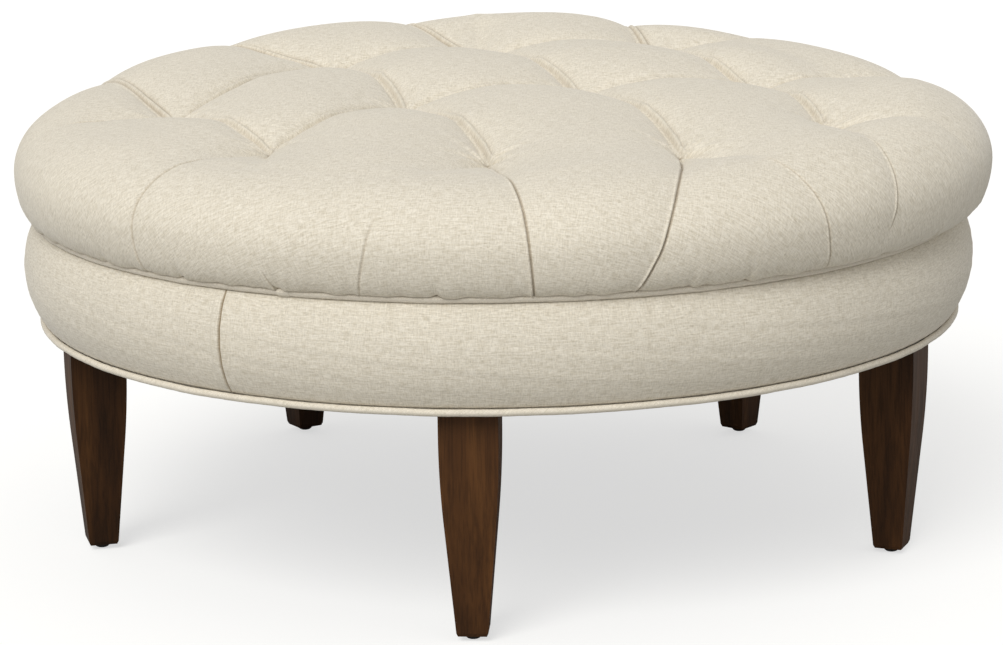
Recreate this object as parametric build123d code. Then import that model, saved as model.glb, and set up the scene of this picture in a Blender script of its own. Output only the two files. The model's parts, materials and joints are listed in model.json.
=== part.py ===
from build123d import *
import math
import os

import numpy as np

# Driving dimensions, in millimetres and degrees. The origin is on the floor under the middle of the
# table, +Z is up, and the front leg stands on the -Y side.
LEG_COUNT = 5
LEG_CIRCLE_RADIUS = 435.0
LEG_TOP_WIDTH = 57.5
LEG_SHOULDER_WIDTH = 50.6
LEG_FOOT_WIDTH = 30.9
GLIDE_HEIGHT = 5.5
GLIDE_RADIUS = 8.5
BOTTOM_BOARD_Z = 238.0
BOARD_THICKNESS = 15.0
BASE_HEIGHT = 105.0
BOARD_RADIUS = 473.5
PANEL_THICKNESS = 3.0
CLOTH = 1.2
BAND_BULGE_RADIUS = 500.5
BAND_BULGE_Z = 300.0
LOWER_WELT_RADIUS = 3.5
UPPER_WELT_RADIUS = 4.0
DECK_RADIUS = 478.0
DECK_THICKNESS = 12.0
FOAM_RADIUS = 470.0
FOAM_THICKNESS = 40.0
WADDING_THICKNESS = 17.0
WADDING_RADIUS = 474.0

# Cushion top: the valley surface that the pleats lie on, and how far the cells puff out of it.
VALLEY_TOP_Z = 456.0
CROWN_RISE = 9.7
VALLEY_FLAT_RADIUS = 380.0
VALLEY_SIDE_RADIUS = 495.0
VALLEY_SIDE_Z = 393.0
CUSHION_FOOT_RADIUS = 484.0
CUSHION_FOOT_Z = 352.0
PUFF = 0.46
CELL_REACH = 45.0
TUFT_REACH = 60.0
TUFT_DEPTH = 20.0
PLEAT_DEPTH = 3.5
EDGE_PLEAT_DEPTH = 4.0

# Filling has settled unevenly: slopes of the top, more swell per mm to the back and right, a wider right side.
LEAN_RIGHT = 0.022
LEAN_BACK = 0.028
LEAN_REACH = 150.0
FULLER_BACK = 0.0014
FULLER_RIGHT = 0.0005
WIDER_RIGHT = 9.0
WIDER_FROM = 380.0
WIDER_REACH = 60.0
FOOT_REACH = 12.0
FORM_GRID = 9.0
RING_POINTS = 96
RING_COUNT = 30
CALM_REACH = 45.0

# Tufts, as plan positions.
TUFTS = {
    "front_left": (-215.0, -213.0),
    "front": (9.0, -276.0),
    "front_right": (197.0, -250.0),
    "left": (-342.0, -58.0),
    "middle_left": (-98.0, -40.0),
    "middle": (83.0, 38.0),
    "right": (339.0, -112.0),
    "middle_right": (266.0, 90.0),
    "back_left": (-197.0, 200.0),
    "back": (-38.0, 268.0),
    "back_right": (155.0, 292.0),
    "far_right": (388.0, 150.0),
}
PLEATS = [
    ("left", "back_left"), ("back_left", "middle_left"), ("front_left", "middle_left"), ("left", "front_left"),
    ("middle_left", "front"), ("middle_left", "middle"), ("middle", "front_right"), ("middle", "middle_right"),
    ("middle_right", "right"), ("back_left", "back"), ("back", "middle"), ("back", "back_right"),
    ("back_right", "middle_right"), ("middle_right", "far_right"),
]
# Pleats to the edge: tuft, direction at the rim, and how full the valley is half way and at the rim.
EDGE_PLEATS = [
    ("front_left", -129.5, 0.85, 0.97), ("front", -82.3, 0.50, 0.90), ("front_right", -71.8, 0.45, 0.88),
    ("front_right", -47.8, 0.80, 0.95), ("right", -37.0, 0.55, 0.92), ("right", -16.0, 0.75, 0.96),
    ("far_right", 4.5, 0.50, 0.92), ("far_right", 27.0, 0.50, 0.92), ("back_right", 46.0, 0.60, 0.93),
    ("back_right", 81.0, 0.60, 0.93), ("back", 112.0, 0.60, 0.93), ("back_left", 143.0, 0.60, 0.93),
    ("left", 171.0, 0.55, 0.93), ("left", 194.0, 0.85, 0.97),
]

# Sizes worked out from the driving dimensions.
BASE_TOP_Z = BOTTOM_BOARD_Z + BASE_HEIGHT
TOP_BOARD_Z = BASE_TOP_Z - BOARD_THICKNESS
POST_Z = BOTTOM_BOARD_Z + BOARD_THICKNESS
POST_HEIGHT = TOP_BOARD_Z - POST_Z
PANEL_RADIUS = BOARD_RADIUS + PANEL_THICKNESS
SEAM_TAIL = 1.0
DECK_Z = BASE_TOP_Z + 2 * SEAM_TAIL
FOAM_Z = DECK_Z + DECK_THICKNESS
CROWN_Z = FOAM_Z + FOAM_THICKNESS + WADDING_THICKNESS
LOWER_TAIL_Z = BOTTOM_BOARD_Z - 2 * SEAM_TAIL
DUST_COVER_THICKNESS = 0.6
LEG_TOP_Z = LOWER_TAIL_Z - DUST_COVER_THICKNESS
BAND_FOOT_RADIUS = PANEL_RADIUS + 3.0
LOWER_WELT_Z = LOWER_TAIL_Z + 0.6
LOWER_WELT_CIRCLE = BAND_FOOT_RADIUS + LOWER_WELT_RADIUS + 0.1
UPPER_WELT_CIRCLE = 487.0
UPPER_WELT_Z = CUSHION_FOOT_Z - UPPER_WELT_RADIUS - 1
STRIP_TOP_Z = UPPER_WELT_Z + UPPER_WELT_RADIUS
LEG_ANGLES = [-90 + 360 / LEG_COUNT * i for i in range(LEG_COUNT)]
POST_COUNT = 2 * LEG_COUNT
POST_ANGLES = [-90 + 360 / POST_COUNT * (i + 0.5) for i in range(POST_COUNT)]
DECK_BOLT_ANGLES = [angle + 180 / LEG_COUNT for angle in LEG_ANGLES]
DECK_BOLT_CIRCLE = 360.0
BOLT_RADIUS = 4.0
BLOCK_THICKNESS = 30.0
BLOCK_CENTRE = LEG_CIRCLE_RADIUS - 17
POST_CENTRE = BOARD_RADIUS - 10.5
TUFT_HOLE_RADIUS = 4.0
TWINE_RADIUS = 1.0
WASHER_THICKNESS = 3.0
WELL_RADIUS = 8.0
WELT_WALL = 1.4
WASHER_POCKET_RADIUS = 17.0


def around(shape, radius, angle):
    """The shape moved out along +X by the radius and turned about the table's axis."""
    return Rot(0, 0, angle) * Pos(radius, 0, 0) * shape


def ring(shapes):
    return Compound(children=list(shapes))


def disc(radius, z, thickness):
    return Pos(0, 0, z) * Cylinder(radius, thickness, align=(Align.CENTER, Align.CENTER, Align.MIN))


def washer_ring(inner, outer, z, thickness):
    return disc(outer, z, thickness) - disc(inner, z, thickness)


def turned(points):
    """A solid of revolution about Z from a closed outline of (radius, z) points."""
    outline = Plane.XZ * make_face(Polyline(*points, close=True))
    return revolve(outline, Axis.Z)


def save(shape, name):
    shape.label = name
    export_step(shape, f"parts/{name}.step")


# Legs and their glides
def leg():
    """Square leg: straight at the top, a soft shoulder, then a straight taper to a chamfered foot."""
    top = LEG_TOP_WIDTH / 2
    shoulder = LEG_SHOULDER_WIDTH / 2
    foot = LEG_FOOT_WIDTH / 2
    chamfer = 1.5
    with BuildSketch(Plane.XZ) as outline:
        with BuildLine():
            Polyline((0, LEG_TOP_Z), (top, LEG_TOP_Z), (top, 205))
            ThreePointArc((top, 205), (top - 1.05, 162), (shoulder, 124))
            Polyline((shoulder, 124), (foot, GLIDE_HEIGHT + 3.5), (foot - chamfer, GLIDE_HEIGHT), (0, GLIDE_HEIGHT))
            Line((0, GLIDE_HEIGHT), (0, LEG_TOP_Z))
        make_face()
        mirror(about=Plane.YZ)
    face = outline.sketch
    reach = LEG_TOP_WIDTH
    across = extrude(face, amount=reach, both=True)
    return across & (Rot(0, 0, 90) * across)


def glide():
    """Domed nail-on glide with a small flat to stand on."""
    flat = 4.0
    with BuildSketch(Plane.XZ) as outline:
        with BuildLine():
            Line((0, 0), (flat, 0))
            ThreePointArc((flat, 0), (GLIDE_RADIUS - 1.2, 1.8), (GLIDE_RADIUS, GLIDE_HEIGHT))
            Polyline((GLIDE_RADIUS, GLIDE_HEIGHT), (0, GLIDE_HEIGHT), (0, 0))
        make_face()
    return revolve(outline.sketch, Axis.Z)


def glide_nail():
    """Nail whose head is cast into the glide."""
    return turned([(0, 2.5), (4, 2.5), (4, 3.5), (1.3, 3.5), (1.3, 18), (0, 22)])


def hanger_bolt():
    """Wood thread with a point in the leg, machine thread up through board and block."""
    low = LEG_TOP_Z - 45
    high = POST_Z + BLOCK_THICKNESS + 4
    return turned([(0, low), (BOLT_RADIUS, low + 8), (BOLT_RADIUS, high - 1), (BOLT_RADIUS - 1, high), (0, high)])


def tee_nut(z):
    """Barrel and flange with three prongs; the flange lies on the wood at height z."""
    bore = BOLT_RADIUS + 0.05
    nut = turned([(bore, 0), (11, 0), (11, 1.4), (bore, 1.4)])
    nut += turned([(bore, 0), (5.2, 0), (5.2, -9), (bore, -9)])
    for i in range(3):
        prong = Pos(9.3, 0, -3) * Box(1.2, 2.6, 6)
        nut += Rot(0, 0, 120 * i) * prong
    return Pos(0, 0, z) * nut


def wood_screw(length, radius=2.2):
    """Countersunk screw, head face at z = 0, pointing down."""
    head = radius * 2
    return turned([(0, 0), (head, 0), (radius, -radius * 1.2), (radius, -length + 4), (0, -length)])


def block_screws():
    screws = []
    for angle in LEG_ANGLES:
        for radial in (-38, 38):
            screw = Pos(0, 0, BOTTOM_BOARD_Z) * Rot(180, 0, 0) * wood_screw(35)
            screws.append(around(screw, BLOCK_CENTRE + radial, angle))
    return screws


def leg_block(angle):
    """Hardwood block over the board that stiffens the leg's bolt."""
    block = Box(100, 90, BLOCK_THICKNESS, align=(Align.CENTER, Align.CENTER, Align.MIN))
    block = chamfer(block.edges().filter_by(Axis.Z).sort_by(Axis.X)[:2], 15)
    return around(Pos(0, 0, POST_Z) * block, BLOCK_CENTRE, angle)


# Frame of the base
def post(angle):
    body = Box(19, 45, POST_HEIGHT, align=(Align.CENTER, Align.CENTER, Align.MIN))
    return around(Pos(0, 0, POST_Z) * body, POST_CENTRE, angle)


def post_screws():
    low_screw = Pos(0, 0, BOTTOM_BOARD_Z) * Rot(180, 0, 0) * wood_screw(40)
    high_screw = Pos(0, 0, BASE_TOP_Z) * wood_screw(40)
    low = [around(low_screw, POST_CENTRE, angle) for angle in POST_ANGLES]
    high = [around(high_screw, POST_CENTRE, angle) for angle in POST_ANGLES]
    return low, high


def bottom_board():
    board = disc(BOARD_RADIUS, BOTTOM_BOARD_Z, BOARD_THICKNESS)
    for angle in DECK_BOLT_ANGLES:
        board -= around(disc(30, BOTTOM_BOARD_Z, BOARD_THICKNESS), DECK_BOLT_CIRCLE, angle)
    return board


def base_top_board():
    board = disc(BOARD_RADIUS, TOP_BOARD_Z, BOARD_THICKNESS)
    for x, y in TUFTS.values():
        board -= Pos(x, y, 0) * disc(WASHER_POCKET_RADIUS, TOP_BOARD_Z, BOARD_THICKNESS)
    return board


def side_panel():
    return washer_ring(BOARD_RADIUS, PANEL_RADIUS, BOTTOM_BOARD_Z, BASE_HEIGHT)


def side_panel_nails():
    """Flat-headed nails through the panel into the edges of both boards."""
    nail = Rot(0, 90, 0) * (disc(0.8, -16, 16) + disc(2.0, 0, 0.8))
    nails = []
    for z in (BOTTOM_BOARD_Z + BOARD_THICKNESS / 2, TOP_BOARD_Z + BOARD_THICKNESS / 2):
        for i in range(10):
            nails.append(around(Pos(0, 0, z) * nail, PANEL_RADIUS, 36 * i + 9))
    return ring(nails)


# Soft band round the base
def band_body(inset, inner):
    """Ring from the inner radius out to the band's bulged outline, drawn in by the inset."""
    foot = BAND_FOOT_RADIUS - inset
    rise = BOTTOM_BOARD_Z + 3.0
    crest = BASE_TOP_Z - 1.0
    with BuildSketch(Plane.XZ) as outline:
        with BuildLine():
            Polyline((inner, BOTTOM_BOARD_Z), (foot, BOTTOM_BOARD_Z), (foot, rise), (foot + 4, rise + inset))
            ThreePointArc(
                (foot + 4, rise + inset),
                (BAND_BULGE_RADIUS - inset, BAND_BULGE_Z),
                (UPPER_WELT_CIRCLE - inset, crest - inset),
            )
            Polyline(
                (UPPER_WELT_CIRCLE - inset, crest - inset), (UPPER_WELT_CIRCLE - 4 - inset, BASE_TOP_Z),
                (inner, BASE_TOP_Z), (inner, BOTTOM_BOARD_Z),
            )
        make_face()
    return revolve(outline.sketch, Axis.Z)


def band_padding():
    return band_body(CLOTH + 0.3, PANEL_RADIUS)


def band_cover():
    """Cloth skin with its edges turned in over and under the boards."""
    skin = band_body(0, PANEL_RADIUS) - band_body(CLOTH, PANEL_RADIUS - 1)
    skin += washer_ring(450, BAND_FOOT_RADIUS, BOTTOM_BOARD_Z - SEAM_TAIL, SEAM_TAIL)
    skin += washer_ring(455, UPPER_WELT_CIRCLE - 4, BASE_TOP_Z, SEAM_TAIL)
    return skin


def welt(circle, z, radius, tail_inner, tail_z):
    """Cloth tube with its sewn tail, and the cord inside it."""
    tail_length = circle - radius + WELT_WALL - tail_inner
    tail = Pos(tail_inner + tail_length / 2, tail_z + SEAM_TAIL / 2) * Rectangle(tail_length, SEAM_TAIL)
    outline = Pos(circle, z) * Circle(radius) + tail
    outline -= Pos(circle, z) * Circle(radius - WELT_WALL)
    core = Pos(circle, z) * Circle(radius - WELT_WALL - 0.1)
    return revolve(Plane.XZ * outline, Axis.Z), revolve(Plane.XZ * core, Axis.Z)


# Cushion top
def deck_holes(radius, z, thickness):
    return [Pos(x, y, 0) * disc(radius, z, thickness) for x, y in TUFTS.values()]


def top_deck():
    board = disc(DECK_RADIUS, DECK_Z, DECK_THICKNESS)
    for hole in deck_holes(TUFT_HOLE_RADIUS, DECK_Z, DECK_THICKNESS):
        board -= hole
    return board


def deck_bolt():
    """Hexagon bolt up through the base top board into the deck's tee nut."""
    head = Pos(0, 0, TOP_BOARD_Z - 7.3) * extrude(RegularPolygon(7.5, 6), 5.3)
    washer = disc(12, TOP_BOARD_Z - 2, 2)
    shank = disc(BOLT_RADIUS, TOP_BOARD_Z - 2, DECK_Z + DECK_THICKNESS - TOP_BOARD_Z + 2)
    return head + washer + shank


def rounded_slab(radius, top, rounding):
    """Round slab on the deck with a rounded shoulder."""
    slab = disc(radius, FOAM_Z, top - FOAM_Z)
    return fillet(slab.edges().sort_by(Axis.Z)[-1], rounding)


def valley_profile():
    """Radius and height of the valley surface against the length along it from the middle."""
    t = np.linspace(0, 1, 120)
    shoulder = math.pi / 2 * (1 - t)
    under = -math.pi / 2 * t
    flat_r = np.linspace(0, VALLEY_FLAT_RADIUS, 80)
    crown_z = VALLEY_TOP_Z + CROWN_RISE * (1 - (flat_r / VALLEY_FLAT_RADIUS) ** 2)
    r = [flat_r, VALLEY_FLAT_RADIUS + (VALLEY_SIDE_RADIUS - VALLEY_FLAT_RADIUS) * np.cos(shoulder[1:]),
         CUSHION_FOOT_RADIUS + (VALLEY_SIDE_RADIUS - CUSHION_FOOT_RADIUS) * np.cos(under[1:])]
    z = [crown_z, VALLEY_SIDE_Z + (VALLEY_TOP_Z - VALLEY_SIDE_Z) * np.sin(shoulder[1:]),
         VALLEY_SIDE_Z + (VALLEY_SIDE_Z - CUSHION_FOOT_Z) * np.sin(under[1:])]
    r = np.concatenate(r)
    z = np.concatenate(z)
    along = np.concatenate([[0], np.cumsum(np.hypot(np.diff(r), np.diff(z)))])
    return along, r, z


def flattened(x, y):
    """A plan position laid out on the flattened cover, where distance runs along the surface."""
    along, r, _ = valley_profile()
    top = r.argmax() + 1
    reach = math.hypot(x, y)
    spread = np.interp(reach, r[:top], along[:top]) / max(reach, 1e-6)
    return x * spread, y * spread


def pleat_lines():
    """Each pleat as (x, y, depth, fullness) rows on the flattened cover; a full valley is none at all."""
    lines = []
    for start, end in PLEATS:
        a, b = TUFTS[start], TUFTS[end]
        middle = ((a[0] + b[0]) / 2, (a[1] + b[1]) / 2)
        lines.append([(a, TUFT_DEPTH, 0), (middle, PLEAT_DEPTH, 0), (b, TUFT_DEPTH, 0)])
    for start, angle, half_way, at_rim in EDGE_PLEATS:
        a = TUFTS[start]
        rim = VALLEY_SIDE_RADIUS
        edge = (rim * math.cos(math.radians(angle)), rim * math.sin(math.radians(angle)))
        middle = ((a[0] + edge[0]) / 2, (a[1] + edge[1]) / 2)
        lines.append([(a, TUFT_DEPTH, 0), (middle, EDGE_PLEAT_DEPTH, half_way), (edge, 0.0, at_rim)])
    return [[(*flattened(*place), depth, full) for place, depth, full in rows] for rows in lines]


def relax(field, fixed, reach, load, rounds=420):
    """Stretch the field like a loaded membrane between its fixed cells."""
    step = FORM_GRID
    spring = 4 + (step / reach) ** 2
    i, j = np.indices(field.shape)
    free = [~fixed & ((i + j) % 2 == colour) for colour in (0, 1)]
    for _ in range(rounds):
        for cells in free:
            around_cell = (np.roll(field, 1, 0) + np.roll(field, -1, 0) + np.roll(field, 1, 1) + np.roll(field, -1, 1))
            target = (around_cell + load * step * step) / spring
            field[cells] += 1.7 * (target[cells] - field[cells])
    return field


def puffed_form():
    """Displacement of the cover from the valley surface on a square grid of the flattened cover."""
    along, _, _ = valley_profile()
    size = along[-1]
    half = int(math.ceil(size / FORM_GRID)) + 6
    axis = np.arange(-half, half + 1) * FORM_GRID
    x, y = np.meshgrid(axis, axis, indexing="ij")
    outside = np.hypot(x, y) >= size
    full = np.full(x.shape, -1.0)
    drop = np.zeros(x.shape)
    for rows in pleat_lines():
        for (x0, y0, d0, f0), (x1, y1, d1, f1) in zip(rows, rows[1:]):
            count = int(math.hypot(x1 - x0, y1 - y0) / FORM_GRID * 2) + 2
            for t in np.linspace(0, 1, count):
                i = int(round((x0 + (x1 - x0) * t) / FORM_GRID)) + half
                j = int(round((y0 + (y1 - y0) * t) / FORM_GRID)) + half
                drop[i, j] = -(d0 + (d1 - d0) * t)
                full[i, j] = f0 + (f1 - f0) * t
    full[outside] = 0
    drop[outside] = 0
    pleated = full >= 0
    swell = relax(np.zeros(x.shape), full == 0, CELL_REACH, 1.0)
    swell[pleated] *= full[pleated] ** 2
    swell = relax(swell, pleated, CELL_REACH, 1.0)
    drop = relax(drop, pleated, TUFT_REACH, 0.0)
    on_top = np.clip((size - np.hypot(x, y)) / LEAN_REACH, 0, 1)
    uneven = 1 + on_top * (FULLER_BACK * y + FULLER_RIGHT * x)
    push = PUFF * np.sqrt(np.maximum(swell * uneven, 0))
    return axis, softened(push + drop)


def softened(field):
    """The field with the grid's steps along slanting pleats smoothed out."""
    for side in (0, 1):
        field = (np.roll(field, 1, side) + 2 * field + np.roll(field, -1, side)) / 4
    return field


def push_at(form, reach, angle):
    """How far the cover stands out of the valley surface at a distance along it and an angle."""
    axis, push = form
    i = (reach * math.cos(angle) - axis[0]) / FORM_GRID
    j = (reach * math.sin(angle) - axis[0]) / FORM_GRID
    a, b = int(i), int(j)
    u, v = i - a, j - b
    near = push[a, b] * (1 - v) + push[a, b + 1] * v
    far = push[a + 1, b] * (1 - v) + push[a + 1, b + 1] * v
    return near * (1 - u) + far * u


def form_point(form, reach, angle):
    """A point of the cover's outside at a distance along the surface and an angle."""
    along, r, z = valley_profile()
    out = push_at(form, reach, angle)
    if reach < CALM_REACH:
        level = np.mean([push_at(form, CALM_REACH, math.radians(30 * k)) for k in range(12)])
        out = level + (out - level) * (reach / CALM_REACH) ** 2
    low, high = max(reach - 6, 0), reach + 6
    slope_r = np.interp(high, along, r) - np.interp(low, along, r)
    slope_z = np.interp(high, along, z) - np.interp(low, along, z)
    size = math.hypot(slope_r, slope_z)
    out += WIDER_RIGHT * max(math.cos(angle), 0) ** 2 * min(max((reach - WIDER_FROM) / WIDER_REACH, 0), 1)
    out *= min((along[-1] - reach) / FOOT_REACH, 1)
    radius = np.interp(reach, along, r) - slope_z / size * out
    height = np.interp(reach, along, z) + slope_r / size * out
    x, y = radius * math.cos(angle), radius * math.sin(angle)
    lean = min((along[-1] - reach) / LEAN_REACH, 1)
    return x, y, height + lean * (LEAN_RIGHT * x + LEAN_BACK * y)


def form_ring(points):
    """Closed smooth ring through the points, evenly spaced in its own measure."""
    count = len(points)
    steps = [k / count for k in range(count + 1)]
    return Wire([Edge.make_spline(points, periodic=True, parameters=steps)])


def tufted_body(form):
    """Solid under the tufted cover: rings from the flat foot, up the side and over the top to the middle."""
    angles = [2 * math.pi * k / RING_POINTS for k in range(RING_POINTS)]
    foot = CUSHION_FOOT_RADIUS
    rings = [form_ring([(foot * math.cos(a), foot * math.sin(a), CUSHION_FOOT_Z) for a in angles])]
    size = valley_profile()[0][-1]
    reaches = [size - 6, size - 14]
    reaches += [(size - 25) * (1 - k / RING_COUNT) for k in range(RING_COUNT)]
    for reach in reaches:
        rings.append(form_ring([form_point(form, reach, a) for a in angles]))
    return Solid.make_loft([*rings, Vertex(*form_point(form, 0.001, 0))])


def tuft_twines():
    """Twine from the cover down through wadding, foam and deck to a knot under its washer."""
    low = DECK_Z - WASHER_THICKNESS
    twine = disc(TWINE_RADIUS, low, CROWN_Z - low) + disc(2.5, low - 2.5, 2.5)
    return ring(Pos(x, y, 0) * twine for x, y in TUFTS.values())


def tuft_washers():
    washer = disc(14, DECK_Z - WASHER_THICKNESS, WASHER_THICKNESS)
    washer -= disc(TWINE_RADIUS, DECK_Z - WASHER_THICKNESS, WASHER_THICKNESS)
    return ring(Pos(x, y, 0) * washer for x, y in TUFTS.values())


def tack_strip():
    """Strip stapled round the edge of the deck over the cover's turned-in edge."""
    return washer_ring(DECK_RADIUS, DECK_RADIUS + CLOTH, DECK_Z, STRIP_TOP_Z - DECK_Z)


def staple(crown=11.0, leg_length=8.0, wire=1.0):
    """Staple with its crown along Y at x = 0, legs towards -X."""
    body = Pos(wire / 2, 0, 0) * Box(wire, crown, wire)
    for side in (-1, 1):
        body += Pos(-leg_length / 2, side * (crown - wire) / 2, 0) * Box(leg_length, wire, wire)
    return body


def cover_staples():
    height = (DECK_Z + STRIP_TOP_Z) / 2
    return ring(around(Pos(0, 0, height) * staple(), DECK_RADIUS + CLOTH, 12 * i) for i in range(30))


# Under the base
def dust_cover():
    sheet = disc(470, LEG_TOP_Z, DUST_COVER_THICKNESS)
    for angle in LEG_ANGLES:
        sheet -= around(disc(BOLT_RADIUS, LEG_TOP_Z, DUST_COVER_THICKNESS), LEG_CIRCLE_RADIUS, angle)
    return sheet


def dust_cover_staples():
    pin = Rot(0, 90, 0) * staple(leg_length=8.5)
    return ring(around(Pos(0, 0, LEG_TOP_Z) * pin, 467, 12 * i + 6) for i in range(30))


def less(body, cutters):
    """The body with each cutter taken out of it."""
    for cutter in cutters:
        body = body - cutter
    return body


def save_legs(bolts, nuts, screws):
    nails = [around(glide_nail(), LEG_CIRCLE_RADIUS, angle) for angle in LEG_ANGLES]
    for i, angle in enumerate(LEG_ANGLES):
        body = around(leg(), LEG_CIRCLE_RADIUS, angle)
        save(less(body, [bolts[i], nails[i]]), f"leg_{i + 1}")
        save(around(glide(), LEG_CIRCLE_RADIUS, angle) - nails[i], f"leg_glide_{i + 1}")
        own_screws = screws[2 * i:2 * i + 2]
        save(less(leg_block(angle), [bolts[i], nuts[i], *own_screws]), f"leg_block_{i + 1}")
    save(ring(nails), "glide_nails")
    save(ring(bolts), "hanger_bolts")
    save(ring(nuts), "leg_tee_nuts")
    save(ring(screws), "block_screws")


def save_frame(bolts, block_pins, deck_bolts, panel_pins, sheet_pins):
    low_pins, high_pins = post_screws()
    for i, angle in enumerate(POST_ANGLES):
        save(less(post(angle), [low_pins[i], high_pins[i]]), f"post_{i + 1:02d}")
    save(ring([*low_pins, *high_pins]), "post_screws")
    save(less(bottom_board(), [*bolts, *block_pins, *low_pins, panel_pins, sheet_pins]), "bottom_board")
    save(less(base_top_board(), [*deck_bolts, *high_pins, panel_pins]), "base_top_board")
    save(side_panel() - panel_pins, "side_panel")
    save(panel_pins, "side_panel_nails")


def save_band(panel_pins, sheet_pins):
    save(band_padding() - panel_pins, "band_padding")
    save(band_cover() - sheet_pins, "band_cover")
    lower, lower_core = welt(LOWER_WELT_CIRCLE, LOWER_WELT_Z, LOWER_WELT_RADIUS, 450, LOWER_TAIL_Z)
    upper, upper_core = welt(UPPER_WELT_CIRCLE, UPPER_WELT_Z, UPPER_WELT_RADIUS, 455, BASE_TOP_Z + SEAM_TAIL)
    save(lower - sheet_pins, "lower_welt")
    save(lower_core, "lower_welt_cord")
    save(upper, "upper_welt")
    save(upper_core, "upper_welt_cord")
    save(dust_cover() - sheet_pins, "dust_cover")
    save(sheet_pins, "dust_cover_staples")


def save_cushion(deck_bolts):
    form = puffed_form()
    twines = tuft_twines()
    nut = tee_nut(FOAM_Z)
    nuts = [around(nut, DECK_BOLT_CIRCLE, angle) for angle in DECK_BOLT_ANGLES]
    cover_pins = cover_staples()
    save(ring(deck_bolts), "deck_bolts")
    save(ring(nuts), "deck_tee_nuts")
    save(less(top_deck(), [*deck_bolts, *nuts, cover_pins]), "top_deck")
    foam = rounded_slab(FOAM_RADIUS, CROWN_Z - WADDING_THICKNESS, 14)
    save(less(foam, [*deck_holes(WELL_RADIUS, FOAM_Z, FOAM_THICKNESS), *nuts]), "foam_core")
    crown = rounded_slab(WADDING_RADIUS, CROWN_Z, 18)
    save(less(crown, [foam, *twines.children]), "top_wadding")
    save(less(tufted_body(form), [disc(DECK_RADIUS, DECK_Z, DECK_THICKNESS), crown]), "tufted_cover")
    save(tack_strip() - cover_pins, "upper_tack_strip")
    save(cover_pins, "cover_staples")
    save(twines, "tuft_twines")
    save(tuft_washers(), "tuft_washers")


def build():
    os.makedirs("parts", exist_ok=True)
    bolt = hanger_bolt()
    bolts = [around(bolt, LEG_CIRCLE_RADIUS, angle) for angle in LEG_ANGLES]
    nut = tee_nut(POST_Z + BLOCK_THICKNESS)
    nuts = [around(nut, LEG_CIRCLE_RADIUS, angle) for angle in LEG_ANGLES]
    block_pins = block_screws()
    deck_bolts = [around(deck_bolt(), DECK_BOLT_CIRCLE, angle) for angle in DECK_BOLT_ANGLES]
    panel_pins = side_panel_nails()
    sheet_pins = dust_cover_staples()
    save_legs(bolts, nuts, block_pins)
    save_frame(bolts, block_pins, deck_bolts, panel_pins, sheet_pins)
    save_band(panel_pins, sheet_pins)
    save_cushion(deck_bolts)


if __name__ == "__main__":
    build()
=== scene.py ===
# %% [markdown]
# # Round ottoman coffee table
# A thick tufted cushion lies on a padded band, and five tapered wooden legs carry both. The wooden and
# steel parts come from the CAD model as they are. The cloth parts are made here, because cloth has folds
# and seams that a plain solid can't have. Each piece takes its place from the CAD model, so nothing has to
# be fitted.

# %% Load the model
import json
import math

import bpy
import numpy as np
from mathutils import Matrix, Vector
from mathutils.geometry import delaunay_2d_cdt


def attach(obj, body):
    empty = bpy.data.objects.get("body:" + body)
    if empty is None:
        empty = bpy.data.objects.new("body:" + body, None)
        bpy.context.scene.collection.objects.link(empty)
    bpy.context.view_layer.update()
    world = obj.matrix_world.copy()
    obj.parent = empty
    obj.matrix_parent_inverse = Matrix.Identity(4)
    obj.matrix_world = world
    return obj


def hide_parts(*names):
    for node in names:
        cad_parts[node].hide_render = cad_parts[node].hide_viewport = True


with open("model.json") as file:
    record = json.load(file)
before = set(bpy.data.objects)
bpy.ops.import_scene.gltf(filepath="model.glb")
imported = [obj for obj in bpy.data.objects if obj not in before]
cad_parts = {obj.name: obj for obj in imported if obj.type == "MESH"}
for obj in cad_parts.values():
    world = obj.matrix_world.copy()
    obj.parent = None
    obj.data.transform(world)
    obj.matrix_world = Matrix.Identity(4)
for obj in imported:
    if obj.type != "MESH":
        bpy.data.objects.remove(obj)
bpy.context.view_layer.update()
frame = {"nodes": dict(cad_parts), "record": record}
nodes = frame["nodes"]

# %% [markdown]
# ## Camera
# The photograph was taken with a long lens from nearly four metres away and a little above the table, with
# the camera turned slightly clockwise. A long lens keeps the far legs almost as large as the near ones.

# %% Set up the camera
camera_place = Vector((0.2545, -3.7623, 1.0875))
camera_tilt = math.radians(13.082)
camera_turn = math.radians(3.839)
camera_roll = math.radians(-0.794)

level_share = math.cos(camera_tilt)
looking = Vector((-math.sin(camera_turn) * level_share, math.cos(camera_turn) * level_share,
                  -math.sin(camera_tilt)))
level = Vector((math.cos(camera_turn), math.sin(camera_turn), 0))
upward = level.cross(looking)
right = level * math.cos(camera_roll) + upward * math.sin(camera_roll)
up = upward * math.cos(camera_roll) - level * math.sin(camera_roll)

camera_data = bpy.data.cameras.new("camera")
camera_data.lens = 129.954
camera_data.sensor_width = 36
camera = bpy.data.objects.new("camera", camera_data)
camera.matrix_world = Matrix.Translation(camera_place) @ Matrix((right, up, -looking)).transposed().to_4x4()
bpy.context.scene.collection.objects.link(camera)
bpy.context.scene.camera = camera
print("camera stands", round(camera_place.length, 2), "m from the middle of the floor under the table")

# %% [markdown]
# ## Sky
# The photograph has the flat light of a studio with white walls, so a sky of one colour gives most of the
# light. The camera and all that shines see plain white instead, which makes the background white with no
# more light on the cloth.

# %% Set up the sky
scene = bpy.context.scene
scene.view_settings.view_transform = "Standard"
sky_colour, sky_strength = (1.0, 0.988, 0.968, 1), 0.54


def join(tree, *pairs):
    for source, target in pairs:
        tree.links.new(source, target)


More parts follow.
